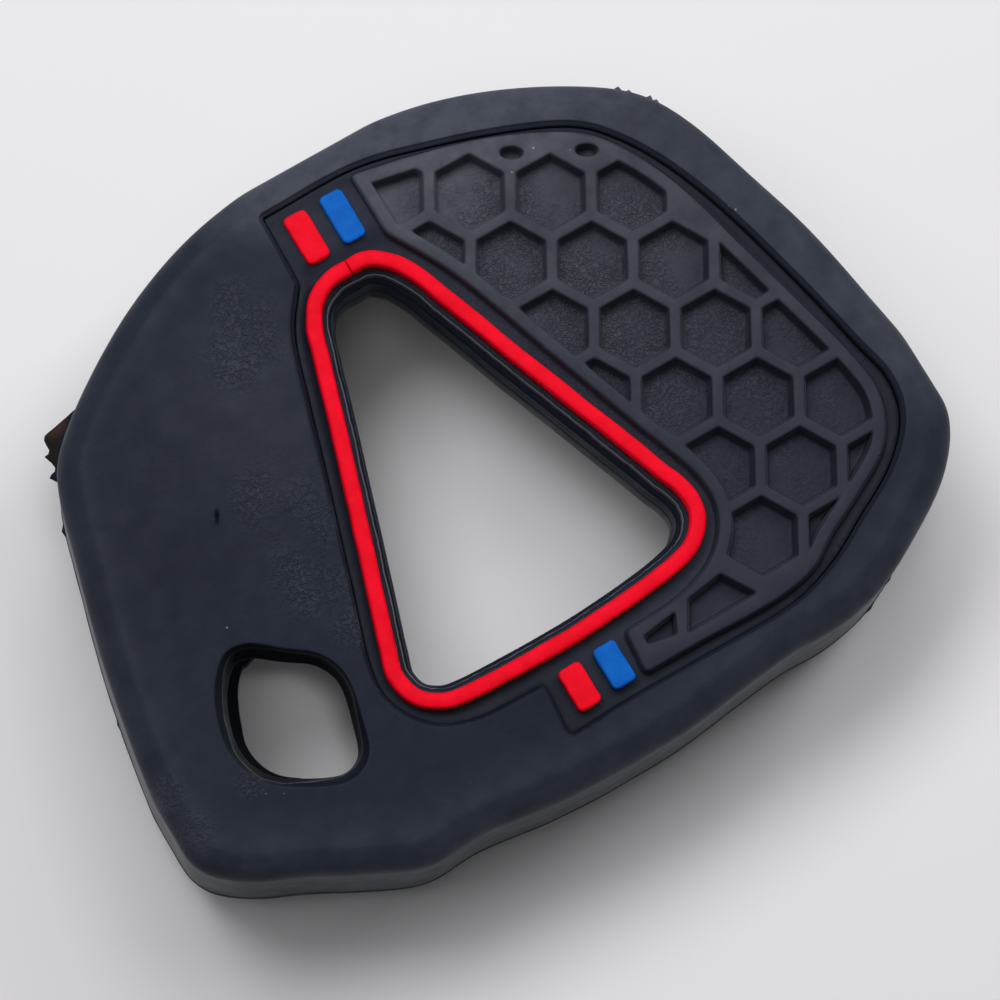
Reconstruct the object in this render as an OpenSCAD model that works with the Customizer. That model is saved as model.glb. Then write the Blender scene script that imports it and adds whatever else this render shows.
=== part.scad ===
// Key fob cover: a soft one-piece shell with a window to the keys, a key ring slot and a rear
// opening for the fob. A thin inlay with a honeycomb panel lies in a recess of the front face.
// A round-backed bead runs round the window and four short bars sit above and below it.
// Length runs along X, width along Y and height along Z. The rear lip rests on Z = 0.

/* [Cover] */
// Length of the cover at its widest line
cover_length = 65.5; // [58:0.5:76]
// Width of the cover at its widest line
cover_width = 51.4; // [46:0.2:60]
// Height from the rear lip to the front rim
cover_height = 16; // [14.4:0.2:20]
// Height of the moulding line, where the cover is widest
girth_height = 5.2; // [3.4:0.2:7]
// How far the rear lip is drawn in below the moulding line
heel_inset = 2.4; // [0.8:0.1:2.8]
// Rounding of the front edge
edge_radius = 2.8; // [1.6:0.1:3]
// Draw-in of the side wall from the moulding line up to the front edge
side_draft = 0.15; // [0:0.05:0.4]

/* [Walls] */
// Thickness of the side wall
side_wall = 2; // [1.4:0.1:2.4]
// Thickness of the front wall below the recess
front_wall = 1.6; // [1.2:0.1:2.4]
// Thickness of the rear wall and lip
rear_wall = 1.8; // [1.2:0.1:2.6]
// Rounding between the side wall and the front wall on the inside
room_radius = 1; // [0.4:0.1:1.4]
// Thickness of the front wall round the key ring slot
slot_wall = 2.4; // [2:0.1:3.2]
// Width of the thinned field round the key ring slot
slot_field = 2.6; // [1.2:0.1:3.2]
// Draw-in of the rear slot against the front slot
rear_slot_step = 0.8; // [0.3:0.1:1.4]
// Shift of the rear slot along the cover
rear_slot_shift_x = 1.2; // [-0.6:0.1:1.4]
// Shift of the rear slot across the cover
rear_slot_shift_y = 1.4; // [-0.6:0.1:1.6]

/* [Window] */
// Width of the collar wall round the window
collar_width = 1.5; // [1:0.1:1.7]
// Depth of the collar wall below the front rim
collar_depth = 5.6; // [4.6:0.1:6.6]
// Distance from the middle line of the bead to the edge of the inlay
inlay_edge = 1.3; // [1:0.05:1.5]
// Distance from the middle line of the bead to the edge of the window
window_edge = 1.75; // [1.6:0.05:2.1]

/* [Inlay] */
// Depth of the recess below the front rim
recess_depth = 2; // [1.8:0.1:2.4]
// Thickness of the inlay below the bead and the bars
inlay_thickness = 0.8; // [0.7:0.05:1.1]
// Top of the honeycomb panel below the front rim
panel_drop = 0.35; // [0.1:0.05:0.6]
// Thickness of the inlay left under each honeycomb cell
cell_floor = 0.4; // [0.3:0.05:0.6]
// Distance from the middle of one honeycomb cell to the next
cell_pitch = 6; // [5:0.1:6.6]
// Width of the ribs between honeycomb cells
rib_width = 0.85; // [0.5:0.05:1.2]
// Width of the border round the honeycomb
border_width = 0.95; // [0.6:0.05:1]
// Clearance between the edge of the inlay and the recess
seam_gap = 0.15; // [0.08:0.01:0.25]

/* [Bead and bars] */
// Width of the bead round the window
bead_width = 1.24; // [0.9:0.02:1.4]
// Height of the bead above the inlay
bead_height = 1.15; // [0.9:0.05:1.2]
// Clearance between the two ends of the bead
bead_slit = 0.12; // [0.08:0.02:0.4]
// Width of each bar
bar_width = 1.84; // [1.3:0.02:2]
// Length of each upper bar
upper_bar_length = 3.9; // [2.8:0.1:4.2]
// Length of each lower bar
lower_bar_length = 3.3; // [2.4:0.1:3.6]
// Height of each bar above the inlay
bar_height = 0.9; // [0.6:0.05:1.1]
// Rounding of the corners of each bar seen from the front
bar_corner = 0.5; // [0.3:0.05:0.6]
// Rounding of the top edge of each bar
bar_edge = 0.28; // [0.15:0.01:0.29]

/* [Hidden] */

// Heights of the main faces.
recess_z = cover_height - recess_depth;
room_top = recess_z - front_wall;
floor_z = recess_z + inlay_thickness;
panel_z = cover_height - panel_drop;
cell_z = recess_z + cell_floor;
collar_z = cover_height - collar_depth;
slot_room_top = cover_height - slot_wall;
// Reach of each cutting body past the face it opens.
past = cover_height / 8;

// Steps between two places of a curve.
outline_steps = 3;
edge_steps = 3;
bead_steps = 4;
// Steps of the front edge rounding, of the heel and of the round back of the bead.
round_steps = 5;
heel_steps = 5;
room_steps = 3;
back_steps = 8;
corner_steps = 4;
bar_steps = 3;

// Places along the outline as shares of half the length and half the width, clockwise from the top.
outline_shares = [
    [0.035, 1.0], [0.265, 0.975], [0.45, 0.91], [0.63, 0.8], [0.76, 0.68], [0.83, 0.53],
    [0.885, 0.305], [0.935, 0.08], [0.97, -0.165], [0.998, -0.41], [0.985, -0.59], [0.9, -0.735],
    [0.755, -0.855], [0.63, -0.93], [0.51, -0.958], [0.4, -0.956], [0.275, -0.972], [0.11, -0.996],
    [-0.07, -1.0], [-0.23, -0.988], [-0.405, -0.958], [-0.54, -0.96], [-0.655, -0.9], [-0.785, -0.81],
    [-0.905, -0.735], [-0.985, -0.635], [-0.998, -0.48], [-0.975, -0.255], [-0.932, 0.015], [-0.877, 0.272],
    [-0.822, 0.507], [-0.765, 0.61], [-0.64, 0.735], [-0.48, 0.857], [-0.31, 0.943], [-0.145, 0.985],
];

// Places along the edge of the recess; a third value of 1 marks a sharp corner.
recess_shares = [
    [-0.128, 0.89, 1], [0.104, 0.887, 0], [0.28, 0.836, 0], [0.458, 0.765, 0], [0.588, 0.69, 0],
    [0.662, 0.597, 0], [0.725, 0.457, 0], [0.777, 0.27, 0], [0.826, 0.01, 0], [0.878, -0.265, 0],
    [0.904, -0.41, 0], [0.88, -0.53, 0], [0.8, -0.63, 0], [0.68, -0.71, 0], [0.57, -0.778, 0],
    [0.44, -0.818, 0], [0.22, -0.814, 0], [0.03, -0.815, 0], [-0.128, -0.83, 1], [-0.124, -0.676, 1],
    [-0.288, -0.67, 0], [-0.388, -0.615, 0], [-0.443, -0.5, 0], [-0.437, -0.37, 0], [-0.373, -0.14, 0],
    [-0.302, 0.12, 0], [-0.245, 0.357, 0], [-0.197, 0.545, 0], [-0.132, 0.668, 1],
];

// Places along the edge of the honeycomb panel; a third value of 1 marks a sharp corner.
panel_shares = [
    [0.096, 0.87, 1], [0.25, 0.83, 0], [0.38, 0.786, 0], [0.5, 0.722, 0], [0.607, 0.637, 0],
    [0.678, 0.513, 0], [0.73, 0.357, 0], [0.772, 0.148, 0], [0.815, -0.07, 0], [0.858, -0.302, 0],
    [0.864, -0.447, 0], [0.812, -0.572, 0], [0.71, -0.652, 0], [0.603, -0.718, 0], [0.525, -0.777, 0],
    [0.41, -0.8, 0], [0.23, -0.794, 0], [0.083, -0.792, 1], [0.092, -0.664, 1], [0.235, -0.654, 0],
    [0.34, -0.606, 0], [0.405, -0.513, 0], [0.415, -0.385, 0], [0.355, -0.16, 0], [0.28, 0.117, 0],
    [0.187, 0.46, 0], [0.099, 0.676, 1],
];

// Places along the middle line of the bead, clockwise from its slit.
bead_shares = [
    [-0.018, 0.643], [0.04, 0.622], [0.101, 0.525], [0.14, 0.4], [0.188, 0.225],
    [0.237, 0.058], [0.293, -0.128], [0.346, -0.305], [0.365, -0.39], [0.363, -0.475], [0.324, -0.542],
    [0.26, -0.572], [0.13, -0.592], [0, -0.6], [-0.135, -0.6], [-0.272, -0.593], [-0.342, -0.57],
    [-0.385, -0.507], [-0.384, -0.4], [-0.344, -0.23], [-0.295, -0.03], [-0.225, 0.262], [-0.175, 0.45],
    [-0.13, 0.57], [-0.08, 0.627],
];

// Places along the edge of the key ring slot.
slot_shares = [
    [-0.71, -0.15], [-0.65, -0.152], [-0.58, -0.222], [-0.519, -0.285], [-0.492, -0.374], [-0.51, -0.5],
    [-0.538, -0.6], [-0.602, -0.635], [-0.685, -0.593], [-0.767, -0.514], [-0.797, -0.4], [-0.772, -0.265],
];

// Places along the edge of the rear opening.
rear_shares = [
    [-0.412, 0.49], [-0.37, 0.61], [-0.27, 0.68], [-0.09, 0.725], [0.09, 0.725], [0.275, 0.685],
    [0.455, 0.59], [0.58, 0.465], [0.65, 0.31], [0.7, 0.08], [0.748, -0.175], [0.776, -0.39],
    [0.752, -0.525], [0.67, -0.615], [0.55, -0.685], [0.365, -0.715], [0.12, -0.73], [-0.12, -0.73],
    [-0.29, -0.71], [-0.388, -0.65], [-0.412, -0.53], [-0.414, -0.3], [-0.414, 0], [-0.414, 0.25],
];

// Middle of one honeycomb cell, and the rows kept in each column counted from it.
lattice_share = [0.308, -0.04];
cell_columns = [-1, 0, 1, 2, 3];
cell_rows = [
    [-3, 2, 3],
    [-3, 0, 1, 2, 3],
    [-3, -2, -1, 0, 1, 2, 3],
    [-3, -2, -1, 0, 1, 2, 3],
    [-2, -1, 0],
];

// Middles of the four bars.
upper_red_share = [-0.063, 0.778];
upper_blue_share = [0.031, 0.778];
lower_red_share = [-0.06, -0.732];
lower_blue_share = [0.031, -0.728];

function place(share) = [share[0] * cover_length / 2, share[1] * cover_width / 2];

function is_corner(row) = len(row) > 2 && row[2] == 1;

// Point at t between b and c on the smooth curve a, b, c, d.
function bend(a, b, c, d, t) =
    (2 * b + (c - a) * t + (2 * a - 5 * b + 4 * c - d) * t * t + (3 * b - a - 3 * c + d) * t * t * t) / 2;

// Closed curve through a table of places; it runs straight between two sharp corners.
function loop(rows, steps) = [
    for (i = [0:len(rows) - 1])
        let (
            n = len(rows),
            b = place(rows[i]),
            c = place(rows[(i + 1) % n]),
            starts = is_corner(rows[i]),
            ends = is_corner(rows[(i + 1) % n]),
            a = starts ? 2 * b - c : place(rows[(i + n - 1) % n]),
            d = ends ? 2 * c - b : place(rows[(i + 2) % n]),
            count = starts && ends ? 1 : steps
        )
        for (k = [0:count - 1]) bend(a, b, c, d, k / count)
];

// Unit normal that points to the right of the way from a to b.
function side(a, b) = [b[1] - a[1], a[0] - b[0]] / norm(b - a);

// The curve with every edge moved inward by d; the curve runs clockwise.
function inset(points, d) = [
    for (i = [0:len(points) - 1])
        let (
            n = len(points),
            u = side(points[(i + n - 1) % n], points[i]),
            v = side(points[i], points[(i + 1) % n])
        )
        points[i] + d * (u + v) / (1 + u * v)
];

// The curve fitted into a box of the given length and width round the origin.
function fitted(points, size_x, size_y) =
    let (
        xs = [for (p = points) p[0]],
        ys = [for (p = points) p[1]],
        low = [min(xs), min(ys)],
        high = [max(xs), max(ys)]
    )
    [for (p = points) [
        (p[0] - (low[0] + high[0]) / 2) * size_x / (high[0] - low[0]),
        (p[1] - (low[1] + high[1]) / 2) * size_y / (high[1] - low[1])
    ]];

outline = fitted(loop(outline_shares, outline_steps), cover_length, cover_width);
recess = loop(recess_shares, edge_steps);
panel = loop(panel_shares, edge_steps);
bead_line = loop(bead_shares, bead_steps);
slot = loop(slot_shares, edge_steps);

// Draw-in of the outer side at height z between the heel and the front edge.
function outer_inset(z) = z < girth_height
    ? heel_inset * (1 - sqrt(max(0, 1 - pow((girth_height - z) / girth_height, 2))))
    : side_draft * (z - girth_height) / (cover_height - edge_radius - girth_height);

// Outer rings as draw-in and height, from the rear face to the front face.
outer_rings = concat(
    [for (k = [0:heel_steps]) let (a = 90 * k / heel_steps)
        [heel_inset * (1 - sin(a)), girth_height * (1 - cos(a))]],
    [for (k = [0:round_steps]) let (a = 90 * k / round_steps)
        [side_draft + edge_radius * (1 - cos(a)), cover_height - edge_radius * (1 - sin(a))]]
);

// Inner rings, from the rear wall to the front wall.
room_rings = concat(
    [for (z = [rear_wall, (rear_wall + girth_height) / 2, girth_height]) [outer_inset(z) + side_wall, z]],
    [for (k = [0:room_steps]) let (a = 90 * k / room_steps)
        [side_draft + side_wall + room_radius * (1 - cos(a)), room_top - room_radius * (1 - sin(a))]]
);

// Middle of a ring of points.
function middle_of(ring) = [for (axis = [0:2]) [for (p = ring) p[axis]] * [for (p = ring) 1] / len(ring)];

// Solid through rings of points that run clockwise seen from its top, from the lowest ring to the highest.
module loft(rings) {
    n = len(rings[0]);
    m = len(rings);
    points = concat([for (ring = rings) for (p = ring) p], [middle_of(rings[0]), middle_of(rings[m - 1])]);
    sides = [
        for (j = [0:m - 2])
            for (i = [0:n - 1])
                let (k = (i + 1) % n)
                for (face = [[j * n + i, j * n + n + k, j * n + n + i], [j * n + i, j * n + k, j * n + n + k]])
                    face
    ];
    bottom = [for (i = [0:n - 1]) [m * n, (i + 1) % n, i]];
    top = [for (i = [0:n - 1]) [m * n + 1, m * n - n + i, m * n - n + (i + 1) % n]];
    polyhedron(points = points, faces = concat(bottom, sides, top), convexity = 6);
}

// Rings of the outline from a table of draw-in and height.
function outline_rings(table) = [
    for (row = table) [for (p = inset(outline, row[0])) [p[0], p[1], row[1]]]
];

// Prism over a closed curve between two heights.
module prism(points, z_low, z_high) {
    translate([0, 0, z_low])
        linear_extrude(height = z_high - z_low)
            polygon(points);
}

// One-piece shell with recess, window, collar, slot and rear opening.
module cover_shell() {
    rear_slot = [for (p = inset(slot, rear_slot_step)) p + [rear_slot_shift_x, rear_slot_shift_y]];
    color([0.19, 0.2, 0.23])
        difference() {
            union() {
                difference() {
                    loft(outline_rings(outer_rings));
                    loft(outline_rings(room_rings));
                }
                prism(inset(bead_line, window_edge - collar_width), collar_z, room_top + front_wall / 2);
            }
            prism(recess, recess_z, cover_height + past);
            prism(inset(bead_line, window_edge), collar_z - past, cover_height + past);
            prism(slot, room_top, cover_height + past);
            prism(inset(slot, -slot_field), room_top - past, slot_room_top);
            prism(rear_slot, -past, rear_wall + past);
            prism(loop(rear_shares, edge_steps), -past, rear_wall + past);
        }
}

// Flat hexagon with its points along X.
function hexagon(middle, flats) = [
    for (k = [0:5]) middle + flats / sqrt(3) * [cos(60 * k), -sin(60 * k)]
];

// Thin inlay with the raised honeycomb panel.
module front_inlay() {
    panel_field = inset(panel, border_width);
    lattice = place(lattice_share);
    color([0.17, 0.18, 0.2])
        difference() {
            union() {
                prism(inset(recess, seam_gap), recess_z, floor_z);
                prism(panel, recess_z + cell_floor / 2, panel_z);
            }
            intersection() {
                prism(panel_field, cell_z, panel_z + past);
                union() {
                    for (j = [0:len(cell_columns) - 1]) {
                        column = cell_columns[j];
                        for (row = cell_rows[j]) {
                            shift = column % 2 == 0 ? row : row + 1 / 2;
                            middle = lattice + cell_pitch * [column * sqrt(3) / 2, shift];
                            prism(hexagon(middle, cell_pitch - rib_width), cell_z - past / 8, panel_z + past);
                        }
                    }
                }
            }
            prism(inset(bead_line, inlay_edge), recess_z - past, panel_z + past);
        }
}

// Round-backed bead along its middle line, open at the slit.
module window_bead() {
    n = len(bead_line);
    half = bead_width / 2;
    // Section as offset to the right of the line and height above the inlay.
    section = concat(
        [[half, 0]],
        [for (k = [0:back_steps]) let (a = 180 * k / back_steps)
            [half * cos(a), bead_height - half + half * sin(a)]],
        [[-half, 0]]
    );
    way = [for (i = [0:n]) bead_line[i % n]];
    normals = [for (i = [0:n])
        let (u = side(bead_line[(i + n - 1) % n], bead_line[i % n]), v = side(bead_line[i % n], bead_line[(i + 1) % n]))
        (u + v) / (1 + u * v)];
    ahead = [-normals[0][1], normals[0][0]];
    middles = [for (i = [0:n]) i == 0 ? way[0] + ahead * bead_slit / 2 : i == n ? way[n] - ahead * bead_slit / 2 : way[i]];
    rings = [for (i = [0:n]) [for (s = section)
        let (p = middles[i] + normals[i] * s[0]) [p[0], p[1], floor_z + s[1]]]];
    color([0.95, 0.07, 0.2])
        loft(rings);
}

// Bar with rounded corners and a rounded top edge, standing on the inlay.
module bar(share, bar_length) {
    middle = place(share);
    outer = [for (c = [[1, 1], [1, -1], [-1, -1], [-1, 1]])
        for (k = [0:corner_steps])
            let (
                start = c[0] > 0 ? (c[1] > 0 ? 90 : 0) : (c[1] > 0 ? 180 : 270),
                a = start - 90 * k / corner_steps
            )
            middle + [
                c[0] * (bar_width / 2 - bar_corner) + bar_corner * cos(a),
                c[1] * (bar_length / 2 - bar_corner) + bar_corner * sin(a)
            ]];
    table = concat(
        [[0, 0]],
        [for (k = [0:bar_steps]) let (a = 90 * k / bar_steps)
            [bar_edge * (1 - cos(a)), bar_height - bar_edge * (1 - sin(a))]]
    );
    loft([for (row = table) [for (p = inset(outer, row[0])) [p[0], p[1], floor_z + row[1]]]]);
}

module upper_red_bar() {
    color([0.95, 0.07, 0.2])
        bar(upper_red_share, upper_bar_length);
}

module upper_blue_bar() {
    color([0.1, 0.4, 0.8])
        bar(upper_blue_share, upper_bar_length);
}

module lower_red_bar() {
    color([0.95, 0.07, 0.2])
        bar(lower_red_share, lower_bar_length);
}

module lower_blue_bar() {
    color([0.1, 0.4, 0.8])
        bar(lower_blue_share, lower_bar_length);
}

cover_shell();
front_inlay();
window_bead();
upper_red_bar();
upper_blue_bar();
lower_red_bar();
lower_blue_bar();
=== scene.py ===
"""Key fob cover: soft dark shell, honeycomb inlay, red bead round the window and four colour bars."""
import math

import bmesh
import bpy
import numpy as np
from mathutils import Matrix, Vector
from mathutils.geometry import delaunay_2d_cdt


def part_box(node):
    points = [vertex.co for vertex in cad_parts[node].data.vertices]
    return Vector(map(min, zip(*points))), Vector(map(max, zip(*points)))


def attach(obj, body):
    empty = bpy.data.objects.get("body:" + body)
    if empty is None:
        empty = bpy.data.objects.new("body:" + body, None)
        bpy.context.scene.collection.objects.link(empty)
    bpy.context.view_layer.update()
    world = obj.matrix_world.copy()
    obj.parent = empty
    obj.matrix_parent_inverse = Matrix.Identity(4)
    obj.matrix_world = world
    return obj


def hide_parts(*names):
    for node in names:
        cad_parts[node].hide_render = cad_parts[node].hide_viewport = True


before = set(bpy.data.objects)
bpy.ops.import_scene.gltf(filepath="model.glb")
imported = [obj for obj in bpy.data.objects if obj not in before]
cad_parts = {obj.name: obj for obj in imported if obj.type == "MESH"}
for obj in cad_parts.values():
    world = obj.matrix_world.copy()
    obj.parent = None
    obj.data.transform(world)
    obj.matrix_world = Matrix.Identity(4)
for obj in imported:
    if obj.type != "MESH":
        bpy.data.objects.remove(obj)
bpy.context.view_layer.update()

MM = 0.001
low, high = (np.array(c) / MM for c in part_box("cover_shell"))
HALF = (high[:2] - low[:2]) / 2
TOP = high[2]

# Heights in millimetres, as in the solids.
RECESS_Z = TOP - 2
FLOOR_Z = TOP - 1.2
PANEL_Z = TOP - 0.35
CELL_Z = TOP - 1.58
COLLAR_Z = TOP - 5.6
ROOM_TOP = TOP - 3.6
SLOT_ROOM_TOP = TOP - 2.4
REAR_WALL = 1.8
GIRTH = 5.2

# Widths and radii in millimetres, as in the solids.
EDGE_R = 2.8
HEEL = 2.4
DRAFT = 0.15
ROUND = 2.7
PITCH = 6
RIB = 0.85
BORDER = 0.95
BAR_W = 1.92
BEAD_W = 1.24
BEAD_H = 1.15
BEAD_SLIT = 0.12

# Small sizes of the detail: least gap to the solid's box, the outline's gap to it, how far the side stands
# in, width and drop of the brink, the recess's least gap to the panel, thickness of the side wall, how far
# the window wall lies inside the bead, the lip round a cell, the panel's foot, a bar's height and radius.
BOX_GAP = 0.03
OUTLINE_GAP = 0.07
EDGE_IN = 0.04
BRINK = 0.14
BRINK_DROP = 0.09
PANEL_GAP = 0.36
WALL = 2.05
WINDOW_IN = 1.3
CELL_LIP = 0.17
FOOT_W = 0.34
BAR_H = 0.885
BAR_R = 0.42

# Points round the outline, the recess and the slot, and points handled at a time to spare memory.
EDGE_POINTS = 720
RIM_POINTS = 900
SLOT_POINTS = 260
CHUNK = 1000

# Places as shares of half the length and half the width, clockwise; a third value of 1 marks a sharp corner.
OUTLINE = [
    [0.035, 1], [0.265, 0.975], [0.45, 0.91], [0.63, 0.8], [0.76, 0.68], [0.83, 0.53],
    [0.885, 0.305], [0.935, 0.08], [0.97, -0.165], [0.998, -0.41], [0.985, -0.59], [0.9, -0.735],
    [0.755, -0.855], [0.63, -0.93], [0.51, -0.958], [0.4, -0.956], [0.275, -0.972], [0.11, -0.996],
    [-0.07, -1], [-0.23, -0.988], [-0.405, -0.958], [-0.54, -0.96], [-0.655, -0.9], [-0.785, -0.81],
    [-0.905, -0.735], [-0.985, -0.635], [-0.998, -0.48], [-0.975, -0.255], [-0.932, 0.015], [-0.877, 0.272],
    [-0.822, 0.507], [-0.765, 0.61], [-0.64, 0.735], [-0.48, 0.857], [-0.31, 0.943], [-0.145, 0.985],
]
RECESS = [
    [-0.128, 0.89, 1], [0.104, 0.887], [0.28, 0.836], [0.458, 0.765], [0.588, 0.69],
    [0.662, 0.597], [0.725, 0.457], [0.777, 0.27], [0.826, 0.01], [0.878, -0.265],
    [0.904, -0.41], [0.88, -0.53], [0.8, -0.63], [0.68, -0.71], [0.57, -0.778],
    [0.44, -0.818], [0.22, -0.814], [0.03, -0.815], [-0.128, -0.83, 1], [-0.124, -0.676, 1],
    [-0.288, -0.67], [-0.388, -0.615], [-0.443, -0.5], [-0.437, -0.37], [-0.373, -0.14],
    [-0.302, 0.12], [-0.245, 0.357], [-0.197, 0.545], [-0.132, 0.668, 1],
]
PANEL = [
    [0.096, 0.87, 1], [0.25, 0.83], [0.38, 0.786], [0.5, 0.722], [0.607, 0.637],
    [0.678, 0.513], [0.73, 0.357], [0.772, 0.148], [0.815, -0.07], [0.858, -0.302],
    [0.864, -0.447], [0.812, -0.572], [0.71, -0.652], [0.603, -0.718], [0.525, -0.777],
    [0.41, -0.8], [0.23, -0.794], [0.083, -0.792, 1], [0.092, -0.664, 1], [0.235, -0.654],
    [0.34, -0.606], [0.405, -0.513], [0.415, -0.385], [0.355, -0.16], [0.28, 0.117],
    [0.187, 0.46], [0.099, 0.676, 1],
]
BEAD = [
    [-0.018, 0.643], [0.04, 0.622], [0.101, 0.525], [0.14, 0.4], [0.188, 0.225],
    [0.237, 0.058], [0.293, -0.128], [0.346, -0.305], [0.365, -0.39], [0.363, -0.475], [0.324, -0.542],
    [0.26, -0.572], [0.13, -0.592], [0, -0.6], [-0.135, -0.6], [-0.272, -0.593], [-0.342, -0.57],
    [-0.385, -0.507], [-0.384, -0.4], [-0.344, -0.23], [-0.295, -0.03], [-0.225, 0.262], [-0.175, 0.45],
    [-0.13, 0.57], [-0.08, 0.627],
]
SLOT = [
    [-0.71, -0.15], [-0.65, -0.152], [-0.58, -0.222], [-0.519, -0.285], [-0.492, -0.374], [-0.51, -0.5],
    [-0.538, -0.6], [-0.602, -0.635], [-0.685, -0.593], [-0.767, -0.514], [-0.797, -0.4], [-0.772, -0.265],
]
REAR = [
    [-0.412, 0.49], [-0.37, 0.61], [-0.27, 0.68], [-0.09, 0.725], [0.09, 0.725], [0.275, 0.685],
    [0.455, 0.59], [0.58, 0.465], [0.65, 0.31], [0.7, 0.08], [0.748, -0.175], [0.776, -0.39],
    [0.752, -0.525], [0.67, -0.615], [0.55, -0.685], [0.365, -0.715], [0.12, -0.73], [-0.12, -0.73],
    [-0.29, -0.71], [-0.388, -0.65], [-0.412, -0.53], [-0.414, -0.3], [-0.414, 0], [-0.414, 0.25],
]

# Honeycomb: where its middle is, the rows of each column, and the cells of another shape, in millimetres.
LATTICE = np.array([0.308, -0.04])
CELLS = {
    -1: [-3, 2, 3], 0: [-3, 0, 1, 2, 3], 1: [-3, -2, -1, 0, 1, 2, 3], 2: [-3, -2, -1, 0, 1, 2, 3],
    3: [-3, -2, -1, 0],
}
OVALS = {(1, 3): (14.3, 18), (2, 3): (19.25, 15.4)}
ODD = {
    (-1, -3): [(3.9, -18), (6.85, -17.6), (6.12, -19.1), (3.85, -18.65)],
    (0, -3): [(11.15, -16.85), (12.75, -19.45), (6.8, -19.45), (8.1, -17.3)],
}
# Wall of a cell: distance inwards from its outline, depth below the panel.
LEVELS = (
    (-CELL_LIP, 0), (-0.1, 0.012), (-0.04, 0.05), (0.01, 0.12), (0.05, 0.24), (0.1, 0.5),
    (0.16, 0.8), (0.2, 0.98), (0.25, 1.1), (0.32, 1.18), (0.42, 1.22), (0.55, 1.23),
)

# Bars: middle as shares, and length.
BARS = {
    "upper_red_bar": ((-0.063, 0.778), 4.05), "upper_blue_bar": ((0.031, 0.78), 4.1),
    "lower_red_bar": ((-0.06, -0.732), 3.4), "lower_blue_bar": ((0.031, -0.728), 3.4),
}

# Unevenness of the moulding, as (share of the way round, millimetres outward).
RECESS_DRIFT = [
    (0, -0.05), (0.035, 0.03), (0.07, 0.03), (0.105, 0), (0.14, -0.1), (0.158, -0.22), (0.175, -0.15),
    (0.195, 0.06), (0.21, 0.13), (0.232, -0.06), (0.245, -0.03), (0.28, 0.1), (0.312, 0.22), (0.33, 0.15),
    (0.35, 0.08), (0.37, -0.17), (0.389, -0.08), (0.406, 0.14), (0.45, 0.14), (0.5, 0.1), (0.6, 0.1),
    (0.64, 0.04), (0.7, 0), (0.778, -0.05), (0.802, 0.09), (0.826, 0.14), (0.851, 0.2), (0.875, 0.17),
    (0.895, 0.09), (0.92, 0.03), (0.943, 0.22), (0.958, 0.09), (0.966, -0.05),
]
BEAD_DRIFT = [
    (0, -0.1), (0.02, 0.15), (0.039, 0.3), (0.06, 0.15), (0.08, 0.08), (0.12, 0.12), (0.2, 0.1),
    (0.25, 0.04), (0.31, -0.05), (0.335, 0.2), (0.35, 0.15), (0.37, 0), (0.39, -0.09), (0.45, -0.09),
    (0.5, -0.04), (0.58, -0.08), (0.617, 0), (0.64, 0.17), (0.658, 0.34), (0.675, 0.13), (0.75, 0.04),
    (0.81, -0.04), (0.85, -0.12), (0.89, -0.1), (0.92, 0.05), (0.94, 0.24), (0.96, 0.27), (0.98, 0.1),
]
SLOT_TUCK = [(0, 0.25), (0.03, 0.2), (0.07, 0), (0.93, 0), (0.97, 0.12)]
REAR_SLOT_IN = [
    (0, -1.6), (0.03, -1.6), (0.061, -1.5), (0.08, -1), (0.1, -0.5), (0.2, -0.1), (0.5, -0.1),
    (0.6, -0.5), (0.64, -0.65), (0.66, -0.66), (0.7, -0.85), (0.74, -1.05), (0.8, -1.3), (0.84, -1.55),
    (0.9, -1.65),
]
# Fullness of the moulded side at even steps round the outline.
FULL = [
    0.6, 0.6, 0.45, 0.38, 0.36, 0.52, 0.66, 0.62, 0.6, 0.5, 0.38, 0.4, 0.38, 0.36, 0.42, 0.4, 0.25, 0.28,
    0.24, 0.08, -0.05, 0.12, 0.17, 0.27, 0.2, -0.04, -0.05, 0, 0.08, -0.2, -0.25, -0.2, -0.3, 0.15, 0.42,
    0.55, 0.65, 0.65, 0.62, 0.45, 0.2, 0.18, 0.35, 0.46, 0.46, 0.42, 0.5, 0.6,
]
# Share of the way round and width of the rounded brink.
CRISP = [
    (0, 0.14), (0.39, 0.14), (0.405, 0.05), (0.63, 0.05), (0.66, 0.14), (0.73, 0.14), (0.75, 0.04),
    (0.95, 0.04), (0.965, 0.14),
]
# Share and painted shade: the strip beside the inlay, and the slot's bevel.
DIM = [
    (0, 0.15), (0.37, 0.15), (0.395, 0.5), (0.41, 0.75), (0.5, 0.75), (0.61, 0.6), (0.65, 0.3), (0.7, 0.2),
]
SLOT_DIM = [
    (0, 0.85), (0.4, 0.85), (0.46, 0.5), (0.5, 0), (0.62, 0), (0.66, 0.2), (0.72, 0.5), (0.9, 0.6),
    (0.94, 0.85),
]
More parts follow.
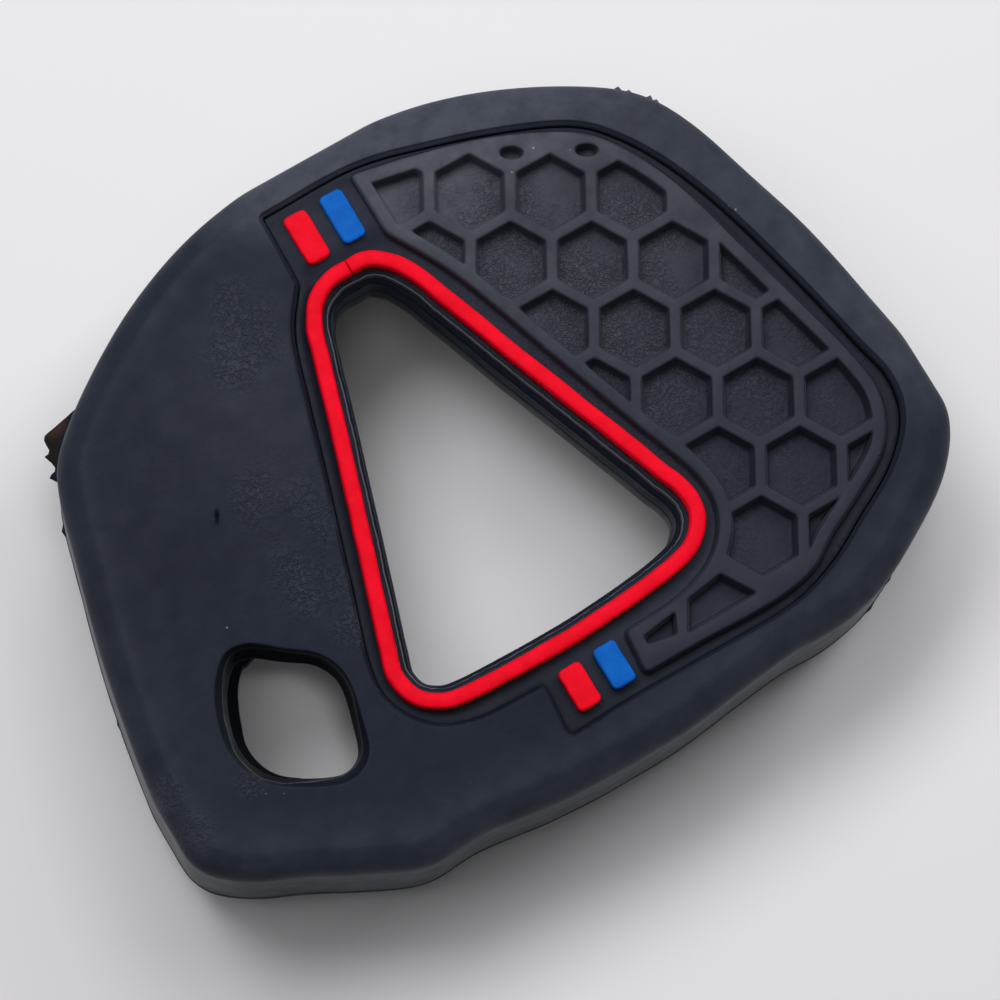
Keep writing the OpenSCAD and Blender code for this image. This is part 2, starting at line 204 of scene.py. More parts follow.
# Round the recess: share, outward drift, bevel's width and depth, rise of the inlay's edge, gap, wear with
# painted highlight.
RIM = [
    (0, -0.1, 0.4, 0.35, 0.5, 0.05, 0.5), (0.037, 0.12, 0.4, 0.4, 0.55, 0.06, 0.1),
    (0.07, 0.05, 0.45, 0.4, 0.6, 0.1, 0), (0.1, -0.04, 0.5, 0.42, 0.7, 0.12, 0),
    (0.15, -0.25, 0.55, 0.42, 0.72, 0.14, 0), (0.17, -0.22, 0.55, 0.42, 0.72, 0.14, 0),
    (0.195, 0, 0.55, 0.42, 0.72, 0.12, 0), (0.23, -0.08, 0.55, 0.42, 0.72, 0.12, 0),
    (0.27, 0.2, 0.5, 0.42, 0.7, 0.11, 0), (0.31, 0.28, 0.5, 0.4, 0.65, 0.1, 0),
    (0.35, 0.05, 0.45, 0.4, 0.6, 0.08, 0.1), (0.369, -0.28, 0.35, 0.35, 0.5, 0.06, 0.2),
    (0.391, -0.1, 0.25, 0.25, 0.2, 0.05, 0.4), (0.406, 0.03, 0.07, 0.15, -0.35, 0.03, 0.7),
    (0.45, 0.08, 0.07, 0.15, -0.55, 0.02, 0.3), (0.49, 0.15, 0.07, 0.15, -0.55, 0.02, 0.1),
    (0.53, 0.46, 0.07, 0.15, -0.55, 0.02, 0), (0.574, 0.5, 0.07, 0.15, -0.5, 0.02, 0),
    (0.598, 0.4, 0.08, 0.15, -0.35, 0.02, 0), (0.622, 0.25, 0.12, 0.15, -0.1, 0.02, 0),
    (0.64, 0.1, 0.25, 0.15, 0, 0.02, 0.1), (0.66, -0.05, 0.3, 0.25, 0.1, 0.02, 0.5),
    (0.693, -0.38, 0.35, 0.3, 0.15, 0.02, 0.7), (0.7176, -0.24, 0.3, 0.25, 0.15, 0.02, 0.8),
    (0.736, -0.08, 0.2, 0.2, 0.2, 0.03, 0.7), (0.766, -0.13, 0.08, 0.1, 0.4, 0.06, 0.15),
    (0.776, -0.28, 0.06, 0.08, 0.45, 0.07, 0), (0.815, 0.02, 0.06, 0.08, 0.5, 0.07, 0),
    (0.859, 0.12, 0.06, 0.08, 0.5, 0.07, 0), (0.913, 0, 0.06, 0.08, 0.5, 0.07, 0.1),
    (0.949, 0.17, 0.08, 0.08, 0.45, 0.08, 0.1), (0.963, -0.1, 0.25, 0.1, 0.45, 0.06, 0.9),
    (0.981, -0.05, 0.25, 0.1, 0.5, 0.05, 0.9),
]
# Round the slot: share, inner ridge, lower edge of the front wall, wear with painted highlight of the ridge.
SLOT_RIM = [
    (0, -0.3, -0.9, 0), (0.05, -0.12, -0.95, 0), (0.1, -0.1, -0.6, 0), (0.2, -0.1, -0.5, 0),
    (0.3, -0.1, -0.5, 0), (0.36, -0.1, -0.55, 0), (0.45, -0.35, -0.66, 0), (0.5, -0.8, -0.93, 0.5),
    (0.56, -0.78, -1.1, 0.7), (0.6, -0.5, -1, 0.8), (0.635, -0.17, -0.85, 0.9), (0.66, -0.06, -0.72, 1),
    (0.7, -0.07, -0.68, 1), (0.74, -0.17, -0.7, 1), (0.78, -0.33, -0.75, 0.9), (0.82, -0.5, -0.8, 0.8),
    (0.86, -0.62, -0.88, 0.6), (0.905, -0.68, -0.9, 0.5), (0.93, -0.62, -0.9, 0.4), (0.95, -0.45, -0.9, 0),
]
# The torn flap of flash: millimetres along the outline, outward reach.
FLAP_AT = (-26.6, 15.6)
FLAP = [
    (0, 0), (0.1, 0.75), (0.3, 1), (0.5, 0.98), (0.7, 0.7), (1.15, 0.78), (1.35, 1.05), (1.5, 1.72),
    (1.7, 1.8), (1.9, 1.58), (2.2, 1.6), (2.5, 2), (2.85, 2.36), (3.2, 2.25), (3.8, 1.9), (4.4, 1.6),
    (5, 1.32), (5.6, 1.08), (6.1, 0.8), (6.4, 0),
]
# Ragged flash and small nibs at the front edge: x, y, half width, reach.
TEETH = [(-27.7, 11.8, 0.5, 0.2), (-31.2, -3, 0.4, 0.08), (20.6, -21.3, 0.6, 0.12), (22.5, -20, 0.5, 0.1)]
NIBS = [(24.3, 18.9, 0.35, 0.3), (24.9, 18.4, 0.25, 0.2), (25.9, 17, 0.3, 0.3), (26.3, 16.6, 0.25, 0.2)]

# Painted shade at the left corner and foot of the side, paler patch of the face, and the torn nick with its
# direction.
CORNER = (-32.6, -15)
FOOT = (-28, -20.5)
PALE_SPOT = (-10.5, 11)
NICK = np.array([-18.32, 5.02])
ALONG = np.array([0.507, 0.862])
ACROSS = np.array([ALONG[1], -ALONG[0]])
LOWER_LEFT = np.array([-0.5, -0.866])
UPPER_RIGHT = np.array([0.72, 0.69])

# The photograph's camera: its place across the object and its height above the front face. The rear slot
# lies SLOT_SIGHT below the edge that the camera sees it past.
EYE = np.array([-44.4965, -48.4302])
EYE_HEIGHT = 289.0325
SLOT_SIGHT = 14.3


# Curves
def loop(rows, steps=16):
    """Closed smooth curve through a table of places, as dense points in millimetres."""
    p = np.array([[r[0] * HALF[0], r[1] * HALF[1]] for r in rows])
    sharp = [len(r) > 2 and r[2] == 1 for r in rows]
    n, out = len(p), []
    for i in range(n):
        b, c = p[i], p[(i + 1) % n]
        a = 2 * b - c if sharp[i] else p[i - 1]
        d = 2 * c - b if sharp[(i + 1) % n] else p[(i + 2) % n]
        for k in range(steps):
            t = k / steps
            bend = (2 * a - 5 * b + 4 * c - d) * t * t
            out.append((2 * b + (c - a) * t + bend + (3 * b - a - 3 * c + d) * t ** 3) / 2)
    return np.array(out)


def even(points, n):
    """The closed curve again, with n points evenly spaced from its first one."""
    p = np.vstack([points, points[:1]])
    s = np.concatenate([[0], np.cumsum(np.hypot(*np.diff(p, axis=0).T))])
    t = np.arange(n) * s[-1] / n
    return np.column_stack([np.interp(t, s, p[:, 0]), np.interp(t, s, p[:, 1])])


def length(points):
    """Length of a closed curve."""
    return np.hypot(*(np.roll(points, -1, 0) - points).T).sum()


def soft(points, sigma):
    """Rounds the corners of an evenly spaced closed curve."""
    k = np.fft.fftfreq(len(points)) * len(points) * 2 * np.pi / length(points)
    g = np.exp(-(k * sigma) ** 2 / 2)
    return np.column_stack([np.fft.ifft(np.fft.fft(points[:, i]) * g).real for i in (0, 1)])


def smooth(values, sigma):
    """Softens one value per point of a closed curve."""
    return soft(np.column_stack([values, values]), sigma)[:, 0]


def around(table, count, column=1):
    """A column of a table by share of the way round, at count points; the last row joins the first."""
    t = np.array(table)
    return np.interp(np.arange(count) / count, t[:, 0], t[:, column], period=1)


def outward(points):
    """Outward direction at each point of a clockwise curve."""
    t = np.roll(points, -1, 0) - np.roll(points, 1, 0)
    t /= np.hypot(*t.T)[:, None]
    return np.column_stack([-t[:, 1], t[:, 0]])


def shift(points, d):
    """Moves a clockwise curve outward by d, one value or one per point."""
    return points + outward(points) * (np.asarray(d)[..., None] if np.ndim(d) else d)


def step(x):
    """Smooth rise from 0 to 1."""
    x = np.clip(x, 0, 1)
    return x * x * (3 - 2 * x)


def fall(degrees):
    """How far a quarter circle of radius 1 has dropped at an angle."""
    return 1 - math.cos(math.radians(degrees))


def wave(points, seed, size):
    """Smooth seeded unevenness over the plane, mostly between -1 and 1."""
    rng = np.random.default_rng(seed)
    out = np.zeros(len(points))
    for _ in range(7):
        a, ph, s = rng.uniform(0, 2 * np.pi), rng.uniform(0, 2 * np.pi), rng.uniform(0.6, 1.7)
        out += np.sin((points[:, 0] * np.cos(a) + points[:, 1] * np.sin(a)) * 2 * np.pi * s / size + ph)
    return out / 4


def inside(points, ring):
    """Which points lie inside a closed curve."""
    x1, y1 = ring.T
    x2, y2 = np.roll(x1, -1), np.roll(y1, -1)
    slope = (x2 - x1) / np.where(y2 == y1, 1e-12, y2 - y1)
    out = np.zeros(len(points), bool)
    for k in range(0, len(points), CHUNK):
        x, y = points[k:k + CHUNK, 0:1], points[k:k + CHUNK, 1:2]
        hit = ((y1 > y) != (y2 > y)) & (x < (y - y1) * slope + x1)
        out[k:k + CHUNK] = hit.sum(1) % 2 == 1
    return out


def distance(points, ring):
    """Distance of each point from a closed curve."""
    a, b = ring, np.roll(ring, -1, 0)
    ab = b - a
    q = np.maximum((ab ** 2).sum(1), 1e-12)
    out = np.zeros(len(points))
    for k in range(0, len(points), CHUNK):
        p = points[k:k + CHUNK, None]
        t = np.clip(((p - a) * ab).sum(2) / q, 0, 1)
        out[k:k + CHUNK] = np.sqrt((((a + ab * t[..., None]) - p) ** 2).sum(2).min(1))
    return out


def squares(points, place):
    """Squared distance of each point from one place."""
    return ((points - place) ** 2).sum(1)


def nearest(points, curve):
    """For each point, the index of the closest point of a curve."""
    parts = [points[k:k + CHUNK, None] for k in range(0, len(points), CHUNK)]
    return np.concatenate([((part - curve[None]) ** 2).sum(2).argmin(1) for part in parts])


def grid(ring, pitch, margin, holes=()):
    """Staggered free points inside a curve, clear of it and of its holes by a margin."""
    lo, hi = ring.min(0), ring.max(0)
    xs, ys = np.arange(lo[0], hi[0], pitch), np.arange(lo[1], hi[1], pitch * 0.866)
    p = np.array([[x + (0.5 * pitch if j % 2 else 0), y] for j, y in enumerate(ys) for x in xs])
    p = p[inside(p, ring)]
    p = p[distance(p, ring) > margin]
    for hole in holes:
        p = p[~inside(p, hole)]
        p = p[distance(p, hole) > margin]
    return p


# Meshes
def is_sliver(face):
    """A triangle with an edge that hangs free and an edge that more than two faces share."""
    shared = [len(edge.link_faces) for edge in face.edges]
    return len(shared) == 3 and max(shared) > 2 and min(shared) == 1


class Skin:
    """A closed surface built from rings of points, bands between them and fields that fill them."""

    def __init__(self):
        self.points = np.zeros((0, 3))
        self.wear_and_highlight = np.zeros(0)
        self.tone = np.zeros(0)
        self.faces = []

    def ring(self, xy, z, wear_and_highlight=0, tone=0):
        """Adds points with their wear with painted highlight, and their tone; a tone above 0 is painted
        light and one below 0 is painted shade.
        """
        n = len(xy)
        ids = np.arange(len(self.points), len(self.points) + n)
        self.points = np.vstack([self.points, np.column_stack([xy, np.broadcast_to(z, n)])])
        self.wear_and_highlight = np.concatenate([self.wear_and_highlight, np.broadcast_to(wear_and_highlight, n)])
        self.tone = np.concatenate([self.tone, np.broadcast_to(tone, n)])
        return ids

    def bands(self, rings):
        """Joins each ring to the next."""
        for a, b in zip(rings, rings[1:]):
            self.faces += np.column_stack([a, np.roll(a, -1), np.roll(b, -1), b]).tolist()

    def field(self, rings, free=None, height=0, tone=0):
        """Fills the first ring, leaving the others open; free points get the given heights."""
        ids = np.concatenate(rings)
        if free is not None and len(free):
            ids = np.concatenate([ids, self.ring(free, height, 0, tone)])
        xy = self.points[ids, :2]
        edges, start = [], 0
        for ring in rings:
            n = len(ring)
            edges += [(start + i, start + (i + 1) % n) for i in range(n)]
            start += n
        made = delaunay_2d_cdt([Vector(p) for p in xy], edges, [], 0, 1e-7, True)
        places = np.array([tuple(p) for p in made[0]])
        triangles = np.array(list(made[2]))
        source = [ids[o[0]] if o else ids[squares(xy, places[i]).argmin()] for i, o in enumerate(made[3])]
        middles = places[triangles].mean(1)
        keep = inside(middles, self.points[rings[0], :2])
        for ring in rings[1:]:
            keep &= ~inside(middles, self.points[ring, :2])
        for triangle in triangles[keep]:
            corners = tuple(int(source[k]) for k in triangle)
            if len(set(corners)) == 3:
                self.faces.append(corners)

    def piece(self, name, node, material):
        """Makes the mesh, closes its hairline gaps and puts it in the place of a node."""
        mesh = bpy.data.meshes.new(name)
        mesh.from_pydata((self.points * MM).tolist(), [], self.faces)
        for key, values in (("wear_and_highlight", self.wear_and_highlight), ("tone", self.tone)):
            mesh.attributes.new(key, "FLOAT", "POINT").data.foreach_set("value", values)
        bm = bmesh.new()
        bm.from_mesh(mesh)
        bmesh.ops.remove_doubles(bm, verts=bm.verts, dist=1e-8)
        # Slivers that hang on a shared edge go in several passes, and the gaps beside them close.
        for _ in range(8):
            bmesh.ops.delete(bm, geom=[f for f in bm.faces if is_sliver(f)], context="FACES_ONLY")
        bmesh.ops.delete(bm, geom=[e for e in bm.edges if not e.link_faces], context="EDGES")
        bmesh.ops.holes_fill(bm, edges=[e for e in bm.edges if len(e.link_faces) == 1], sides=0)
        bmesh.ops.recalc_face_normals(bm, faces=bm.faces)
        bmesh.ops.delete(bm, geom=[v for v in bm.verts if not v.link_faces], context="VERTS")
        print(name, "edges not shared by two faces", sum(len(e.link_faces) != 2 for e in bm.edges))
        bm.to_mesh(mesh)
        bm.free()
        mesh.polygons.foreach_set("use_smooth", [True] * len(mesh.polygons))
        obj = bpy.data.objects.new(name, mesh)
        bpy.context.scene.collection.objects.link(obj)
        mesh.materials.append(material)
        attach(obj, "root")
        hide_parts(node)
        return obj


# Materials
def shader(name):
    """A new material with its Principled node."""
    material = bpy.data.materials.new(name)
    material.use_nodes = True
    return material, material.node_tree.nodes["Principled BSDF"]


def join(source, made, socket):
    """Links a socket to a named or numbered socket of a node."""
    source.id_data.links.new(source, made.inputs[socket])


def fill(made, **values):
    """Sets a node's sockets, named as in Blender with _ for a space."""
    for key, value in values.items():
        made.inputs[key.replace("_", " ")].default_value = value


def node(source, kind, socket=0, **settings):
    """A new node in the source's tree, with the source linked to one of its sockets."""
    made = source.id_data.nodes.new(kind)
    for key, value in settings.items():
        setattr(made, key, value)
    join(source, made, socket)
    return made


def noise(at, scale, detail=2, rough=0.5, distortion=0):
    """Noise between 0 and 1; the scale counts per metre."""
    made = node(at, "ShaderNodeTexNoise", "Vector")
    fill(made, Scale=scale, Detail=detail, Roughness=rough, Distortion=distortion)
    return made.outputs["Fac"]


def ramp(value, lo, hi, start=0, end=1):
    """Smooth change from start to end as the value goes from lo to hi."""
    made = node(value, "ShaderNodeMapRange", interpolation_type="SMOOTHSTEP")
    for socket, number in enumerate((lo, hi, start, end), 1):
        made.inputs[socket].default_value = number
    return made.outputs[0]


def calc(operation, first, second=None):
    """A Math node on a socket and a number or another socket."""
    made = node(first, "ShaderNodeMath", operation=operation)
    if isinstance(second, (int, float)):
        made.inputs[1].default_value = second
    elif second is not None:
        join(second, made, 1)
    return made.outputs[0]


def times(first, second):
    return calc("MULTIPLY", first, second)


def plus(first, second):
    return calc("ADD", first, second)


def paint(factor, below, above):
    """One colour over another by a factor; each is a colour or a socket."""
    made = node(factor, "ShaderNodeMix", "Factor", data_type="RGBA")
    for socket, value in zip([i for i in made.inputs if i.type == "RGBA"], (below, above)):
        if isinstance(value, tuple):
            socket.default_value = (*value, 1)
        else:
            value.id_data.links.new(value, socket)
    return [o for o in made.outputs if o.type == "RGBA"][0]


def bump(height, strength, depth, before=None):
    """A Bump node, depth in metres, over the bump before it."""
    made = node(height, "ShaderNodeBump", "Height")
    fill(made, Strength=strength, Distance=depth)
    if before is not None:
        join(before, made, "Normal")
    return made.outputs["Normal"]


def object_place(surface):
    """The place on the object, in metres."""
    return surface.id_data.nodes.new("ShaderNodeTexCoord").outputs["Object"]


def painted(surface, attribute):
    """An attribute of the mesh's points."""
    made = surface.id_data.nodes.new("ShaderNodeAttribute")
    made.attribute_name, made.attribute_type = attribute, "GEOMETRY"
    return made.outputs["Fac"]


def spots(at, places):
    """1 near the given places (x, y, z, inner radius, outer radius in millimetres), 0 away from them."""
    total = None
    for x, y, z, inner, outer in places:
        apart = node(at, "ShaderNodeVectorMath", operation="DISTANCE")
        apart.inputs[1].default_value = (x * MM, y * MM, z * MM)
        spot = ramp(apart.outputs["Value"], inner * MM, outer * MM, 1, 0)
        total = spot if total is None else calc("MAXIMUM", total, spot)
    return total


# Colours painted over the silicone: painted shade, dust, and the flap's painted shadow and brown stain.
PAINTED_SHADE = (0.0012, 0.0014, 0.0019)
DUST = (0.4, 0.4, 0.43)
FLAP_SHADOW = (0.014, 0.012, 0.009)
FLAP_BROWN = (0.06, 0.028, 0.021)
FLAP_SHADOW_SPOT = [(-26.2, 18.2, 5.2, 1.2, 2.2)]


def silicone(name, dark, light, rough, grain, fine, patches, dust, wear_and_highlight_colour, painted_light, brown=()):
    """Matt dark silicone, cloudy, with painted light and painted shade, wrinkles and worn edges with painted
    highlights, dust, and brown flash with a painted shadow.

    The wrinkles are grain metres deep, fine of them to a metre; patches, dust and brown are spots.
    """
    material, surface = shader(name)
    at = object_place(surface)
    cloud = plus(times(noise(at, 60, 3), 0.7), times(noise(at, 800, 2), 0.3))
    base = paint(ramp(cloud, 0.36, 0.64), dark, light)
    # Painted light where the mesh's tone is above 0, painted shade where it is below.
    tone = painted(surface, "tone")
    mottle = ramp(noise(at, 420, 4, 0.6), 0.3, 0.7, 0.6, 1.15)
    base = paint(times(calc("MAXIMUM", tone, 0), mottle), base, painted_light)
    base = paint(calc("MAXIMUM", times(tone, -1), 0), base, PAINTED_SHADE)
    # Fine short wrinkles where the mould was rough; their ridges and patches get the painted light as
    # painted highlights.
    worm = noise(at, fine, 1.5, 0.5, 0.7)
    ridge = ramp(calc("ABSOLUTE", calc("SUBTRACT", worm, 0.5)), 0, 0.15, 1, 0)
    patch = times(spots(at, patches), ramp(noise(at, 260, 2), 0.25, 0.7, 0.1, 1))
    base = paint(times(patch, plus(times(ridge, 0.35), 0.13)), base, painted_light)
    # Worn edges with painted highlights, the brown flash with a painted shadow on its flap, and specks of
    # dust.
    worn_and_lit = plus(painted(surface, "wear_and_highlight"), times(noise(at, 1500, 3, 0.6), 0.9))
    base = paint(times(ramp(worn_and_lit, 0.72, 1.25), 0.8), base, wear_and_highlight_colour)
    if brown:
        base = paint(times(spots(at, FLAP_SHADOW_SPOT), 0.9), base, FLAP_SHADOW)
        stain = times(spots(at, brown), ramp(noise(at, 900, 2), 0.3, 0.6, 0.5, 1))
        base = paint(stain, base, FLAP_BROWN)
    base = paint(times(spots(at, dust), 0.5), base, DUST)
    join(base, surface, "Base Color")
    join(ramp(noise(at, 500, 3), 0.3, 0.7, rough - 0.05, rough + 0.05), surface, "Roughness")
    fill(surface, Specular_IOR_Level=0.1, Sheen_Weight=0.1, Sheen_Roughness=0.3)
    # The wrinkles, a faint skin everywhere and a broad unevenness.
    relief = bump(times(ridge, patch), 1, grain)
    relief = bump(noise(at, 2600, 2), 0.5, 0.00004, relief)
    join(bump(noise(at, 240, 3), 0.5, 0.0001, relief), surface, "Normal")
    return material


def colour(name, deep, bright, rough):
    """Coloured silicone with slightly uneven depth of colour and a fine skin."""
    material, surface = shader(name)
    at = object_place(surface)
    join(paint(ramp(noise(at, 700, 3), 0.3, 0.7), deep, bright), surface, "Base Color")
    join(ramp(noise(at, 1900, 2), 0.3, 0.7, rough - 0.05, rough + 0.07), surface, "Roughness")
    fill(surface, Specular_IOR_Level=0.07)
    join(bump(noise(at, 2200, 2), 0.35, 0.00005), surface, "Normal")
    return material


SHELL = silicone(
    "shell_silicone", dark=(0.005, 0.0076, 0.0162), light=(0.007, 0.0112, 0.0218),
    rough=0.52, grain=0.00008, fine=2700,
    patches=[
        (-10.5, 15, 16, 1.2, 4.6), (-13.8, 4.3, 16, 1.2, 4.4), (-13.4, 0.8, 16, 1, 4.2),
        (-14.6, -2.5, 16, 0.8, 4.2), (-13.5, -7, 16, 0.5, 3), (-31.3, -10.5, 15.3, 0.6, 2.2),
        (-31, -14, 15.2, 0.6, 2.4), (-26, -13, 15.9, 0.3, 1.6), (-8.8, 17.4, 16, 0.8, 3.6),
    ],
    dust=[
        (-27.9, -12.4, 15.8, 0.03, 0.09), (-21.74, -2.32, 15.95, 0.04, 0.1),
        (-26.95, -20.1, 15.2, 0.04, 0.11), (-25.37, -14.13, 15.9, 0.03, 0.09),
        (-24.26, -14.78, 15.9, 0.03, 0.07), (-14.26, -14.12, 16, 0.04, 0.1),
        (-9.51, -20.18, 15.8, 0.03, 0.09), (18.12, 17.95, 15.9, 0.03, 0.1), (26.4, 5.9, 15.9, 0.04, 0.11),
        (26.1, 6.4, 15.9, 0.02, 0.07), (-10.3, -19.3, 15.8, 0.02, 0.06),
    ],
    wear_and_highlight_colour=(0.13, 0.135, 0.15), painted_light=(0.051, 0.058, 0.079), brown=[(-24.5, 19.7, 5.2, 0.6, 1.7)])
# The inlay's patches are large spheres that reach the cells' floors only.
INLAY = silicone(
    "inlay_silicone", dark=(0.0125, 0.0155, 0.0262), light=(0.016, 0.0196, 0.0325),
    rough=0.55, grain=0.00014, fine=3100,
    patches=[(15, 6, -35.55, 50.15, 50.95), (9, 13.5, -35.55, 50.02, 50.6), (14, 2, -285.55, 299, 301.1)],
    dust=[
        (15.9, 17.5, 15.65, 0.05, 0.13), (13.55, 16.7, 15.6, 0.04, 0.12), (8.7, 18.9, 14.5, 0.03, 0.1),
        (19.5, 8.6, 15.6, 0.03, 0.1), (14.9, 17.1, 15.6, 0.02, 0.08), (18.2, 16, 15.65, 0.02, 0.08),
    ],
    wear_and_highlight_colour=(0.12, 0.125, 0.14), painted_light=(0.086, 0.092, 0.114))
RED = colour("red_silicone", (0.82, 0.0004, 0.013), (0.94, 0.0012, 0.02), 0.55)
BLUE = colour("blue_silicone", (0.0006, 0.1, 0.46), (0.002, 0.128, 0.55), 0.5)

# Outlines of the moulding; the outer one stays inside the solid's box.
bead_line = soft(shift(even(loop(BEAD), RIM_POINTS), around(BEAD_DRIFT, RIM_POINTS)), 0.15)
outline = even(loop(OUTLINE), EDGE_POINTS)
middle = (outline.max(0) + outline.min(0)) / 2
outline = (outline - middle) * (HALF - OUTLINE_GAP) / ((outline.max(0) - outline.min(0)) / 2)
normal = outward(outline)
limit = HALF - BOX_GAP
stretch = EDGE_POINTS / len(FULL)
full = np.interp(np.arange(EDGE_POINTS) / stretch, np.arange(len(FULL) + 1), FULL + FULL[:1])
slant = np.abs(normal)
reach = np.where(slant > 0.05, (limit - np.abs(outline)) / np.maximum(slant, 0.05), 9).min(1)
full = soft(np.column_stack([np.minimum(full, reach), full * 0]), 0.7)[:, 0]
outline = soft(np.clip(outline + normal * full[:, None], -limit, limit), 0.6)
normal = outward(outline)
panel = soft(even(loop(PANEL), 700), 0.25)
recess = even(loop(RECESS), RIM_POINTS)
drift = around(RIM, RIM_POINTS) + around(RECESS_DRIFT, RIM_POINTS)
drift = np.maximum(drift, np.minimum(0, PANEL_GAP - distance(recess, panel)))
recess = soft(shift(recess, smooth(drift, 0.35)), 0.16)
slot = soft(shift(even(loop(SLOT), SLOT_POINTS), -around(SLOT_TUCK, SLOT_POINTS)), 0.3)
# The rear slot is what the camera sees of it, carried down along the lines of sight.
seen = shift(slot, around(REAR_SLOT_IN, SLOT_POINTS))
rear_slot = even(soft(seen - (EYE - seen) / round(EYE_HEIGHT) * SLOT_SIGHT, 0.3), 220)
rear = even(loop(REAR), 420)
# The front edge is rounder and has painted light where the outline faces the lower left; painted sheen runs
# along it, and painted shade darkens the left corner and the foot of the side.
lower_left = step((normal @ LOWER_LEFT) / 0.7)
radius_at = smooth(1 + 1.9 * lower_left, 1.5)
lower_left_light = 0.24 * lower_left
edge_sheen_scale = 1 + 0.2 * wave(outline, 41, 9)
corner = 0.42 * np.exp(-squares(outline, CORNER) / 9) + 0.36 * np.exp(-squares(outline, FOOT) / 25)


def face_height(points, d=None, radius=None):
    """Height of the front face: a rounded edge that runs out into a slightly crowned face."""
    if d is None:
        d = distance(points, outline)
        radius = radius_at[nearest(points, outline)]
    x = np.clip(1 - d / ROUND, 0, 1)
    edge = radius * (np.sqrt(1 - x * x) - 1)
    crown = 0.2 * np.exp(-d / 3.2)
    return TOP - 0.015 + edge - crown + 0.035 * (wave(points, 4, 26) - 0.9) * step(d / 5)


def side_inset(z):
    """How far the side wall stands in from the outline at a height."""
    if z < GIRTH:
        return HEEL * (1 - math.sqrt(max(0, 1 - ((GIRTH - z) / GIRTH) ** 2)))
    return DRAFT * (z - GIRTH) / (TOP - EDGE_R - GIRTH)


def painted_edge_light(points):
    """Painted light on the rim round the upper right."""
    return (0.52 + 0.46 * step((points[:, 1] - 15) / 7)) * step((points @ UPPER_RIGHT - 8) / 7.5)


def edge_sheen_at(d):
    """Painted sheen along the edge, fading inwards from the outline."""
    return 0.86 * np.interp(d, (0, 0.25, 0.5, 0.8, 1.2, 2, 2.9), (0.55, 0.5, 0.34, 0.23, 0.17, 0.12, 0))


def teeth(places):
    """Ragged flash: outward reach at each outline point from (x, y, half width, height) teeth."""
    out = np.zeros(len(outline))
    for x, y, half_width, height in places:
        d = np.hypot(*(outline - outline[squares(outline, (x, y)).argmin()]).T)
        out = np.maximum(out, height * np.clip(1 - d / half_width, 0, 1))
    return out


def run(place, profile):
    """Flash whose reach follows (millimetres clockwise from a place, reach) pairs."""
    i = int(squares(outline, place).argmin())
    s = np.concatenate([[0], np.cumsum(np.hypot(*np.diff(np.roll(outline, -i, 0), axis=0).T))])
    s = np.where(s > s[-1] / 2, s - length(outline), s)
    t = np.array(profile)
    return np.roll(np.interp(s, t[:, 0], t[:, 1], 0, 0), i)


# Shell: the outer side, from the rear lip up to the moulding line
shell = Skin()
side = [shell.ring(shift(outline, -(HEEL + 0.25)), 0)]
# The side below the moulding line carries a little painted light.
for degrees in np.linspace(8, 84, 13):
    z = GIRTH * fall(degrees)
    side.append(shell.ring(shift(outline, -side_inset(z)), z, 0, 0.15))

# The raised moulding line with its flash: outward reach, height, share of the flap's thickness.
flap = np.maximum(run(FLAP_AT, FLAP), teeth(TEETH))
thick = 0.11 * step(flap / 0.3)
fringe = 0.01 + 0.02 * np.clip(0.5 + 0.5 * wave(outline, 11, 3.1), 0, 1) + flap
flash_z = GIRTH + 0.12 * wave(outline, 5, 17)
for d, z, share in ((-0.03, -0.2, 0), (-0.02, -0.07, -1), (fringe, -0.03, -0.4),
                    (fringe, 0.02, 0.3), (-0.03, 0.05, 1), (-0.04, 0.25, 0)):
    side.append(shell.ring(shift(outline, d), flash_z + z + thick * share))

# The wall above it, then the rounded front edge, with painted sheen, painted light at the upper right and
# lower left, and painted shade at the left corner.
top_painted_light = painted_edge_light(outline)
wall_tone = np.maximum(edge_sheen_scale * 0.32, top_painted_light) - corner
wall_height = TOP - radius_at - 0.215 - GIRTH
for t in np.linspace(0.06, 0.92, 9):
    ripple = 0.02 * wave(outline, 8, 14) * t * (1 - t) * 4
    xy = shift(outline, -DRAFT * t - EDGE_IN + ripple)
    side.append(shell.ring(xy, GIRTH + wall_height * t, 0, wall_tone))
nib = teeth(NIBS)
for degrees in np.linspace(0, 62, 10):
    d = ROUND * fall(degrees)
    xy = shift(outline, -(DRAFT + d) - EDGE_IN + (nib if degrees == 0 else 0))
    tone = np.maximum(edge_sheen_scale * edge_sheen_at(d) + lower_left_light, top_painted_light) - corner * step((1 - d) / 0.8)
    side.append(shell.ring(xy, face_height(xy, d, radius_at), 0, tone))
shell.bands(side)

